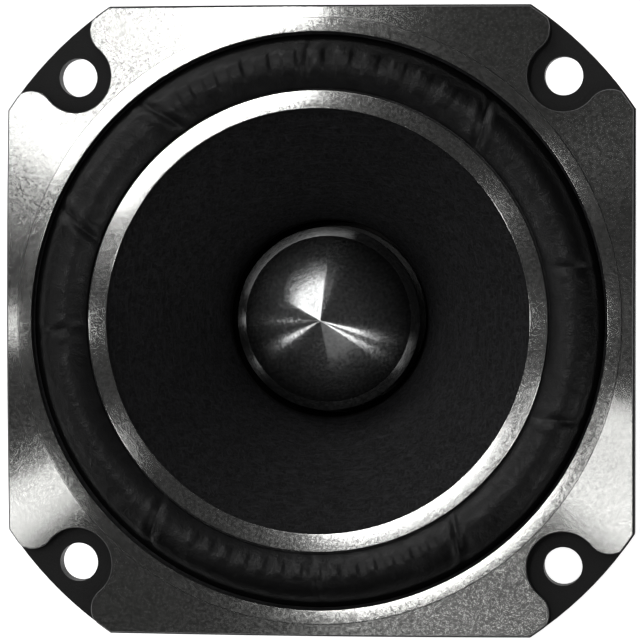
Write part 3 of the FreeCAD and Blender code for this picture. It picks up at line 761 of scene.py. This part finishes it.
def cone():
    """The paper cone, with the faint unevenness of pressed pulp."""
    mouth = 32.3 * MM
    thickness = 0.5 * MM
    curve = 59 * MM
    even_edge = 1.5 * MM
    neck_front = CONE_NECK + 0.7 * MM
    edge_back = CONE_EDGE - thickness
    front = arc_through((mouth, CONE_EDGE), (FORMER_OUTER, neck_front), curve, "right", 56)
    back = arc_through((FORMER_OUTER, CONE_NECK), (mouth + thickness, edge_back), curve, "left", 56)
    section = [(CONE_OUTER, CONE_EDGE)] + front + back + [(CONE_OUTER, edge_back)]

    def pulp(point, azimuth):
        inner_share = min(1.0, max(0.0, (mouth - math.hypot(point.x, point.y)) / even_edge))
        swell = ripple(point, 260, 0.05 * MM) + ripple(point, 900, 0.025 * MM)
        return point + Vector((0, 0, swell * inner_share))

    new_object("cone_paper", lathe_mesh(section, 540, pulp), PAPER, CONE_BODY, ["cone"], 50)


def phase_plug():
    """The bullet: a straight turned point, a long rounded shoulder, and a flatter bead round its rim."""
    point_end = (5.0 * MM, -1.28 * MM)
    bead_start = (12.78 * MM, -8.88 * MM)
    bead_end = (BULLET_RADIUS, -9.50 * MM)
    edge_back, stem_front = -11.0 * MM, -14.0 * MM
    stem = 9.0 * MM
    tip = (0.12 * MM, BULLET_TIP - 0.05 * MM)
    tip_steps = 24
    straight = [
        (tip[0] + (point_end[0] - tip[0]) * n / tip_steps, tip[1] + (point_end[1] - tip[1]) * n / tip_steps)
        for n in range(tip_steps)
    ]
    shoulder = arc_through(point_end, bead_start, 42 * MM, "left", 60)
    bead = arc_through(bead_start, bead_end, 8 * MM, "left", 12)[1:]
    base = bottom("phase_plug")
    foot = [(BULLET_RADIUS, edge_back), (stem, stem_front), (stem, base), (0, base)]
    section = [(0, BULLET_TIP)] + straight + shoulder + bead + foot
    new_object("phase_plug_turned", solid_mesh(section, 720), BULLET_METAL, FRAME_BODY,
               ["phase_plug"], 12)


# -------- surround

ROLL_INNER = 34.95 * MM
ROLL_OUTER = 43.1 * MM
ROLL_CURVE = 4.7 * MM
ROLL_START = RING_BACK + (RING_FRONT - RING_BACK) * 0.6
SKIN = 0.4 * MM
ROLL_MIDDLE_MM = 39.3
# Soft folds across the roll: azimuth in degrees, how far each leans, and how deep it is in millimetres.
FOLDS = ((127, 5, 0.42), (158, -4, 0.38), (231, 4, 0.34), (303, -5, 0.42), (50, 5, 0.46), (182, 2, 0.2),
         (12, -3, 0.22), (270, 2, 0.18), (92, -2, 0.16), (338, 3, 0.24))
# Two rows of plain moulded ribs, one each side: middle azimuth, number, spacing and half a rib's width in
# degrees, and then the middle of a rib and half its length, as shares of the way across the roll.
RIB_ROWS = ((90, 11, 6.0, 1.5, 0.50, 0.22), (270, 15, 4.3, 1.0, 0.31, 0.13))


def angle_between(first_deg, second_deg):
    return (first_deg - second_deg + 180) % 360 - 180


def roll_relief(azimuth_deg, share):
    """How far the roll's skin stands out or in at an azimuth, at a share of the way across it.

    fold_half, swell_away, swell_half, the depths and rib_height are in millimetres until the end.
    """
    fold_half, swell_away, swell_half, swell_share = 0.55, 1.5, 0.8, 0.35
    rib_height, side_softness, end_softness = 0.18, 0.12, 0.02
    relief = 0.0
    for fold_deg, lean_deg, depth in FOLDS:
        away_deg = angle_between(azimuth_deg, fold_deg + lean_deg * (share - 0.5))
        away = away_deg * math.radians(1) * ROLL_MIDDLE_MM
        relief -= depth * math.exp(-(away / fold_half) ** 2)
        relief += depth * swell_share * math.exp(-((abs(away) - swell_away) / swell_half) ** 2)
    for middle_deg, count, spacing_deg, half_rib_deg, middle_share, half_share in RIB_ROWS:
        away_deg = angle_between(azimuth_deg, middle_deg)
        if abs(away_deg) < count * spacing_deg / 2:
            from_rib = abs((away_deg / spacing_deg + 0.5) % 1 - 0.5) * spacing_deg
            bar = 1 / (1 + math.exp((from_rib - half_rib_deg) / side_softness))
            band = 1 / (1 + math.exp((abs(share - middle_share) - half_share) / end_softness))
            relief += rib_height * bar * band
    return relief * MM


def surround():
    """The coated foam roll: one closed skin that bends from the cone's edge to the clamped lip."""
    lip_start = 32.1 * MM
    outer_arc = arc_through((ROLL_INNER, ROLL_START), (ROLL_OUTER, LIP_FRONT), ROLL_CURVE, "left", 44)
    inner_arc = arc_through((ROLL_OUTER - SKIN, LIP_BACK), (ROLL_INNER + SKIN, CONE_EDGE),
                            ROLL_CURVE - SKIN, "right", 44)
    section = (
        [(lip_start, CONE_EDGE), (lip_start, RING_BACK), (ROLL_INNER, RING_BACK)]
        + outer_arc
        + [(LIP_OUTER, LIP_FRONT), (LIP_OUTER, LIP_BACK)]
        + inner_arc
    )
    below = 1.0 * MM
    middle = Vector(((ROLL_INNER + ROLL_OUTER) / 2, (ROLL_START + LIP_FRONT) / 2 - below))

    def foam(point, azimuth):
        """Moves a point of the roll outward or inward, and less so near the roll's two edges."""
        radius = math.hypot(point.x, point.y)
        share = (radius - ROLL_INNER) / (ROLL_OUTER - ROLL_INNER)
        if not 0 < share < 1:
            return point
        hold = math.sin(math.pi * share) ** 0.6
        lift = roll_relief(math.degrees(azimuth), share)
        lift += ripple(point, 160, 0.16 * MM) + ripple(point, 420, 0.07 * MM)
        lift += ripple(point, 1300, 0.03 * MM)
        outward = Vector((radius, point.z)) - middle
        outward.normalize()
        radial, rise = outward.x * lift * hold, outward.y * lift * hold
        return point + Vector((math.cos(azimuth) * radial, math.sin(azimuth) * radial, rise))

    piece = new_object("surround_roll", lathe_mesh(section, 1020, foam), FOAM, None,
                       ["surround"], 45)
    blend_round(piece, ROLL_INNER, ROLL_OUTER)


def blend_round(piece, inner, outer):
    """Bakes the piece's place into its mesh and works out each point's share between the two radii, which
    nothing then uses.
    """
    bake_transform(piece)
    for vertex in piece.data.vertices:
        share = (outer - math.hypot(vertex.co.x, vertex.co.y)) / (outer - inner)
        share = min(1.0, max(0.0, share))


def spider():
    """The corrugated cloth disc, clamped at the cup's ledge and glued to the former."""
    inner = FORMER_OUTER + 0.05 * MM
    outer = radius_of("spider")
    back = bottom("spider")
    roll_start = FORMER_OUTER + 2.0 * MM
    roll_end = 29.2 * MM
    waves = 4
    wave_height = 0.55 * MM
    cloth = 0.3 * MM
    lift = 0.2 * MM
    steps = 96

    def height_at(radius):
        if not roll_start < radius < roll_end:
            return 0.0
        return wave_height * math.sin(2 * math.pi * waves * (radius - roll_start) / (roll_end - roll_start))

    radii = [inner + (outer - inner) * n / steps for n in range(steps + 1)]
    upper = [(radius, back + cloth + lift * (radius < roll_end) + height_at(radius)) for radius in radii]
    lower = [(radius, height - cloth) for radius, height in reversed(upper)]
    piece = new_object("spider_cloth", lathe_mesh(upper + lower, 240), CLOTH, None,
                       ["spider"], 60)
    blend_round(piece, roll_start, roll_end)


def coil_winding():
    """The winding, as rounded turns one above the other."""
    low, high = bottom("voice_coil"), top("voice_coil")
    outer = radius_of("voice_coil")
    turns = 26
    pitch = (high - low) / turns
    section = [(FORMER_OUTER, low)]
    for turn in range(turns):
        middle = low + pitch * (turn + 0.5)
        section += arc_points((outer - pitch / 2, middle), pitch / 2, -80, 80, 6)
    section.append((FORMER_OUTER, high))
    new_object("voice_coil_winding", lathe_mesh(section, 180), COPPER, CONE_BODY,
               ["voice_coil"], 60)


# -------- leads

LEAD_BEND = 4.0 * MM
LEAD_TURN_DEG = 110
LEAD_RADIUS = 0.45 * MM
LEAD_STRANDS = 3
LEAD_TWIST = 2.6 * MM
LEAD_SUNK = 0.3 * MM


def lead_path(start_radius, end_radius):
    """Points (distance from the axis, height): up from the post, over in a bend, down to the neck."""
    bend_steps, straight_steps = 48, 150
    centre = (start_radius - LEAD_BEND, top("terminal_posts"))
    bend = arc_points(centre, LEAD_BEND, 0, LEAD_TURN_DEG, bend_steps)
    radius, height = bend[-1]
    turn = math.radians(LEAD_TURN_DEG)
    step = (radius - end_radius) / math.sin(turn) / straight_steps
    inward, upward = math.sin(turn) * step, math.cos(turn) * step
    return bend + [(radius - inward * n, height + upward * n) for n in range(1, straight_steps + 1)]


def twisted_mesh(path, outward):
    """A cord of twisted strands along a path in the upright plane that holds the axis and outward."""
    around = 30
    valley = 0.72
    aside = outward.cross(Vector((0, 0, 1)))
    places = [outward * radius + Vector((0, 0, height)) for radius, height in path]
    points = []
    run = 0.0
    for n, place in enumerate(places):
        before, after = places[max(n - 1, 0)], places[min(n + 1, len(places) - 1)]
        run += (place - before).length
        normal = aside.cross(after - before).normalized()
        for step in range(around):
            angle = 2 * math.pi * step / around
            lobe = abs(math.sin(LEAD_STRANDS / 2 * (angle + 2 * math.pi * run / LEAD_TWIST)))
            spread = LEAD_RADIUS * (valley + (1 - valley) * lobe)
            points.append(place + (aside * math.cos(angle) + normal * math.sin(angle)) * spread)
    faces = []
    for n in range(len(places) - 1):
        for step in range(around):
            after = (step + 1) % around
            here, there = n * around, (n + 1) * around
            faces.append((here + step, here + after, there + after, there + step))
    faces.append(tuple(range(around)))
    faces.append(tuple(range(len(points) - around, len(points))))
    return mesh_of(points, faces)


def lead_post(node, side):
    """Where the CAD's lead leaves its post, seen from the front."""
    low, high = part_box(node)
    furthest = max(side * low.x, side * high.x)
    return Vector((side * (furthest - LEAD_RADIUS), low.y + LEAD_RADIUS, 0))


def leads():
    """The two flexible leads, each from its post over a bend and down to the cone's neck."""
    neck = radius_of("neck_glue")
    for node, side in (("lead_positive", 1), ("lead_negative", -1)):
        post = lead_post(node, side)
        outward = post.normalized()
        mesh = twisted_mesh(lead_path(post.length, neck - LEAD_SUNK), outward)
        piece = new_object(f"{node}_strands", mesh, LEAD, None, [node], 60)
        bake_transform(piece)


# -------- pieces at the rear


def glue_bead(name, height, plate, side):
    """A thin bead of adhesive squeezed out between the magnet and a plate, uneven on its way round."""
    inner = radius_of(plate)
    profile_mm = ((0.0, 0.0), (0.7, 0.0), (0.55, 0.3), (0.25, 0.5), (0.0, 0.62))
    section = [(inner + out * MM, height + side * along * MM) for out, along in profile_mm]

    def squeeze(point, azimuth):
        radius = math.hypot(point.x, point.y)
        swell = 0.75 + 0.5 * noise.noise(Vector((math.cos(azimuth), math.sin(azimuth), height)) * 6)
        grown = inner + (radius - inner) * swell
        lifted = height + (point.z - height) * swell
        return Vector((grown * math.cos(azimuth), grown * math.sin(azimuth), lifted))

    new_object(name, lathe_mesh(section, 360, squeeze), GLUE, FRAME_BODY, (), 60)


def capacitor():
    """The electrolytic can: a shrink sleeve with its crimp, and a disc in the sleeve's open rear end."""
    low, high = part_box("capacitor")
    centre = ((low.x + high.x) / 2, (low.y + high.y) / 2)
    radius = (high.x - low.x) / 2
    hollow, recess = radius * 0.72, low.z + 0.35 * MM
    rear_round, front_round = 0.5 * MM, 0.4 * MM
    crimp, flank, crimp_half = high.z - 1.6 * MM, 0.25 * MM, 0.6 * MM
    crimp_radius, flank_radius = radius - 0.24 * MM, radius - 0.18 * MM
    dimple_edge, dimple, dimple_floor = radius * 0.7, radius * 0.66, high.z - 0.3 * MM
    sleeve = (
        [(0, recess), (hollow, recess), (hollow, low.z)]
        + arc_points((radius - rear_round, low.z + rear_round), rear_round, -90, 0, 5)
        + [(radius, crimp - crimp_half), (flank_radius, crimp - flank), (crimp_radius, crimp),
           (flank_radius, crimp + flank), (radius, crimp + crimp_half)]
        + arc_points((radius - front_round, high.z - front_round), front_round, 0, 90, 4)
        + [(dimple_edge, high.z), (dimple, dimple_floor), (0, dimple_floor)]
    )
    material = shrink_sleeve("shrink_sleeve", Vector((*centre, 0)))
    new_object("capacitor_can", solid_mesh(sleeve, 96, centre), material, FRAME_BODY,
               ["capacitor"], 40)
    disc, flat = radius * 0.70, radius * 0.66
    rear, corner, front = low.z + 0.12 * MM, low.z + 0.2 * MM, low.z + 0.38 * MM
    section = [(0, rear), (flat, rear), (disc, corner), (disc, front), (0, front)]
    new_object("capacitor_end", solid_mesh(section, 96, centre), TIN, FRAME_BODY, (), 40)


def solder_dot(name, x, y, base):
    """A small round blob of solder on the board's rear face, with a wire's end in it."""
    radius, height = 0.75 * MM, 0.55 * MM
    steps = 7
    section = [(0, base - height)]
    for n in range(1, steps + 1):
        share = n / steps
        section.append((radius * share, base - height * (1 - share**1.6)))
    section.append((0, base))
    new_object(name, solid_mesh(section, 40, (x, y)), SOLDER, FRAME_BODY, (), 60)


def board_details():
    """Solder on the blades' feet and the capacitor's wires, and the tinned tracks between them."""
    wire_width, post_reach, blade_reach = 0.6 * MM, 1.6 * MM, 0.8 * MM
    blade_side, capacitor_side = 1.5 * MM, -1.4 * MM
    rear = bottom("terminal_board")
    wires_low, wires_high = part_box("capacitor_wires")
    row = (wires_low.y + wires_high.y) / 2
    wire = (wires_high.x - wires_low.x - wire_width) / 2
    post = radius_of("terminal_posts") - post_reach
    solder_dot("solder_wire_positive", wire, row, rear)
    solder_dot("solder_wire_negative", -wire, row, rear)
    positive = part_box("terminal_positive")[0].x + blade_reach
    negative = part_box("terminal_negative")[1].x - blade_reach
    track("track_positive", post, positive, row + blade_side, rear)
    track("track_negative", negative, -post, row + blade_side, rear)
    track("track_capacitor", wire, post, row + capacitor_side, rear)
    solder_foot("terminal_positive", rear)
    solder_foot("terminal_negative", rear)


def upright_edges(shell):
    """The edges that aren't level, for a bevel."""
    least_rise = 1e-6
    return [edge for edge in shell.edges if abs((edge.verts[0].co - edge.verts[1].co).z) > least_rise]


def track(name, start, stop, row, rear):
    """A strip of tinned copper on the board's rear face, from one place along the row to another."""
    width = 1.1 * MM
    lift = 0.06 * MM
    first, last = start - width, stop + width
    shell = bmesh.new()
    bmesh.ops.create_cube(shell, size=1.0)
    bmesh.ops.scale(shell, verts=shell.verts, vec=(last - first, width, lift))
    bmesh.ops.translate(shell, verts=shell.verts, vec=((first + last) / 2, row, rear - lift / 2))
    bmesh.ops.bevel(shell, geom=upright_edges(shell), offset=width * 0.45, segments=6, affect="EDGES")
    new_object(name, finished(shell), SOLDER, FRAME_BODY, (), 40)


def solder_foot(node, rear):
    """A fillet of solder round a blade's foot."""
    low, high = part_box(node)
    height = 0.64 * MM
    spill = 0.5 * MM
    shell = bmesh.new()
    rings = []
    for share in (0.0, 0.35, 0.7, 1.0):
        grow = spill * (1 - share) ** 2
        west, east, south, north = low.x - grow, high.x + grow, low.y - grow, high.y + grow
        corners = ((west, south), (east, south), (east, north), (west, north))
        rings.append([shell.verts.new((x, y, rear - height * share)) for x, y in corners])
    for first, second in zip(rings, rings[1:]):
        for n in range(4):
            after = (n + 1) % 4
            shell.faces.new((first[n], first[after], second[after], second[n]))
    shell.faces.new(rings[0])
    shell.faces.new(rings[-1])
    bmesh.ops.recalc_face_normals(shell, faces=shell.faces)
    bmesh.ops.bevel(shell, geom=upright_edges(shell), offset=0.25 * MM, segments=3, affect="EDGES")
    new_object(f"solder_{node}", finished(shell), SOLDER, FRAME_BODY, (), 60)


# -------- CAD nodes that stay


def dress_nodes():
    """Gives each CAD node that still shows its material, and most of them slightly broken edges."""
    looks = {
        "basket": (BLACK_PLASTIC, 0.14),
        "top_plate": (STEEL, 0.12),
        "magnet": (FERRITE, 0.10),
        "back_plate": (STEEL, 0.15),
        "pole_piece": (BLACK_STEEL, 0.10),
        "phase_plug_bolt": (STEEL, 0.08),
        "floor_screws": (STEEL, 0.08),
        "clamp_gasket": (PAPER, 0.0),
        "voice_coil_former": (FILM, 0.0),
        "neck_glue": (GLUE, 0.0),
        "pole_felt": (FELT, 0.2),
        "cup_felt": (FELT, 0.3),
        "terminal_board": (BOARD, 0.05),
        "terminal_posts": (BRASS, 0.12),
        "terminal_positive": (TIN, 0.06),
        "terminal_negative": (TIN, 0.06),
        "capacitor_wires": (TIN, 0.0),
    }
    least_corner_deg = 35
    for node, (material, edge_mm) in looks.items():
        piece = NODES[node]
        for material_slot in piece.material_slots:
            material_slot.material = material
        if edge_mm:
            broken = piece.modifiers.new("broken_edges", "BEVEL")
            broken.width = edge_mm * MM
            broken.segments = 2
            broken.limit_method = "ANGLE"
            broken.angle_limit = math.radians(least_corner_deg)
            broken.use_clamp_overlap = True


# -------- stage, lights and camera

CAMERA_DISTANCE = 0.60
CAMERA_SIDE_DEG = 6.3
CAMERA_RISE_DEG = 1.5
SENSOR_WIDTH_MM = 36
FOCAL_LENGTH_MM = 224
LIGHT_DISTANCE = 1.6
WORLD_BRIGHTNESS = 0.024
TARGET = Vector((0.15 * MM, 0.22 * MM, 4.0 * MM))
TO_CAMERA = Vector((
    math.tan(math.radians(CAMERA_SIDE_DEG)), math.tan(math.radians(CAMERA_RISE_DEG)), 1,
)).normalized()


def floor():
    """A plain pale plane, a hair below the back plate so that the two never fight for the same place."""
    half = 1.5
    hair = 0.02 * MM
    height = FLOOR - hair
    corners = [(-half, -half, height), (half, -half, height), (half, half, height), (-half, half, height)]
    mesh = mesh_of(corners, [(0, 1, 2, 3)])
    mesh.materials.append(pale_floor("pale_floor"))
    placed("floor", mesh)


def camera():
    """The camera in front of the part, a little to +X and +Y, with +Y up in the picture."""
    lens = bpy.data.cameras.new("camera")
    lens.sensor_width = SENSOR_WIDTH_MM
    lens.lens = FOCAL_LENGTH_MM
    lens.clip_start = 0.01
    eye = placed("camera", lens)
    right = Vector((0, 1, 0)).cross(TO_CAMERA).normalized()
    up = TO_CAMERA.cross(right)
    turn = Matrix((right, up, TO_CAMERA)).transposed()
    eye.matrix_world = Matrix.Translation(TARGET + TO_CAMERA * CAMERA_DISTANCE) @ turn.to_4x4()
    bpy.context.scene.camera = eye


def direction_to(azimuth_deg, tilt_deg):
    """The way from the part at an azimuth, so many degrees down from +Z."""
    azimuth, tilt = math.radians(azimuth_deg), math.radians(tilt_deg)
    return Vector((math.sin(tilt) * math.cos(azimuth), math.sin(tilt) * math.sin(azimuth), math.cos(tilt)))


def softbox(name, start, stop, wide_deg, brightness):
    """A long area light seen from the part between two directions, each an azimuth and a tilt from +Z.

    wide_deg is its width as the part sees it, and brightness is the same at any size.
    """
    first, last = direction_to(*start), direction_to(*stop)
    middle = (first + last).normalized()
    lengthways = (last - first).normalized()
    lamp = bpy.data.lights.new(name, "AREA")
    lamp.shape = "RECTANGLE"
    lamp.size = 2 * LIGHT_DISTANCE * math.tan(math.radians(wide_deg / 2))
    lamp.size_y = 2 * LIGHT_DISTANCE * math.tan(first.angle(last) / 2)
    lamp.energy = math.pi * brightness * lamp.size * lamp.size_y
    light = placed(name, lamp)
    facing = Matrix((lengthways.cross(middle), lengthways, middle)).transposed()
    light.matrix_world = Matrix.Translation(TARGET + middle * LIGHT_DISTANCE) @ facing.to_4x4()


def lighting():
    """Narrow softboxes that draw the streaks on the turned metal, and a faint even world."""
    softbox("key", (167.4, 11.4), (107.8, 27.7), 4.5, 12.0)
    softbox("key_end", (160.1, 10.2), (157.5, 25.5), 3.6, 4.5)
    softbox("key_middle", (82.0, 48.0), (168.0, 48.0), 8, 2.4)
    softbox("key_low", (94.8, 65.5), (157.5, 73.0), 10, 5.6)
    softbox("right_high", (312.4, 29.3), (337.9, 26.9), 9.2, 4.2)
    softbox("right_upper", (337.6, 48.0), (337.6, 64.0), 6.0, 6.0)
    softbox("right_lower", (322.4, 48.0), (322.4, 64.0), 6.0, 6.0)
    softbox("left_high", (209.4, 33.2), (209.1, 44.7), 4.7, 4.2)
    softbox("left_low", (206.6, 55.5), (206.6, 70.0), 7.2, 6.4)
    softbox("left_spark", (183.0, 38.0), (183.0, 60.0), 3.6, 4.8)
    softbox("bounce_low", (270.0, 66.0), (316.0, 66.0), 14, 0.3)
    world = bpy.data.worlds.new("studio")
    world.use_nodes = True
    background = world.node_tree.nodes["Background"]
    background.inputs["Color"].default_value = (1, 1, 1, 1)
    background.inputs["Strength"].default_value = WORLD_BRIGHTNESS
    bpy.context.scene.world = world
    bpy.context.scene.view_settings.view_transform = "Standard"


floor()
camera()
lighting()
face_plate()
trim_ring()
cone()
phase_plug()
surround()
spider()
coil_winding()
leads()
glue_bead("glue_bead_front", top("magnet"), "top_plate", 1)
glue_bead("glue_bead_rear", bottom("magnet"), "back_plate", -1)
capacitor()
board_details()
dress_nodes()
